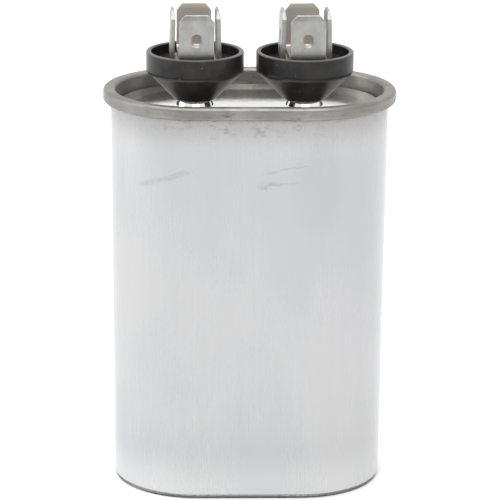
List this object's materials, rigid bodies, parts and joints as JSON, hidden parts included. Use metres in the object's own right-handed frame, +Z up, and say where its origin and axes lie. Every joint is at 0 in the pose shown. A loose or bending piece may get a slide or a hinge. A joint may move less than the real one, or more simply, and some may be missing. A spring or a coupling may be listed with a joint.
{
  "type": "motor run capacitor",
  "caption": "Oval aluminium can with a double-seamed, sunk lid, black umbrella insulators and blade terminals, with the film winding and leads inside.",
  "frame": {"origin": "centre of the flat underside of the can", "axes": "+Z up from the base to the blade tips, X along the long side of the oval through both terminals, Y across the thin side"},
  "size_m": [0.0536, 0.0344, 0.0889],
  "materials": {
    "case_aluminium": "drawn aluminium, satin with fine upright draw lines and handling scuffs",
    "lid_tinplate": "bright tinned steel, mirror-like flat, dull warm grey on the folded seam",
    "film": "metallised film, satin",
    "zinc": "sprayed zinc, rough and matt",
    "wrap_film": "clear polypropylene wrap, satin",
    "tray_plastic": "natural moulded polypropylene",
    "lead_metal": "tinned copper strip, satin",
    "black_phenolic": "black moulded phenolic, slightly rough with a low sheen",
    "blade_metal": "tinned strip, satin with faint rolling lines",
    "rivet_metal": "tinned steel, satin",
    "seal_rubber": "tan rubber, matt"
  },
  "bodies": {
    "root": {"can": "case_aluminium", "lid": "lid_tinplate", "winding": "film", "top_spray": "zinc", "bottom_spray": "zinc", "wrap": "wrap_film", "bottom_tray": "tray_plastic", "top_tray": "tray_plastic", "top_lead": "lead_metal", "side_lead": "lead_metal", "left_cup": "black_phenolic", "left_cross_blades": "blade_metal", "left_side_blades": "blade_metal", "left_rivet": "rivet_metal", "left_gasket": "seal_rubber", "left_bushing": "tray_plastic", "left_lug": "lead_metal", "right_cup": "black_phenolic", "right_cross_blades": "blade_metal", "right_side_blades": "blade_metal", "right_rivet": "rivet_metal", "right_gasket": "seal_rubber", "right_bushing": "tray_plastic", "right_lug": "lead_metal"}
  },
  "joints": []
}
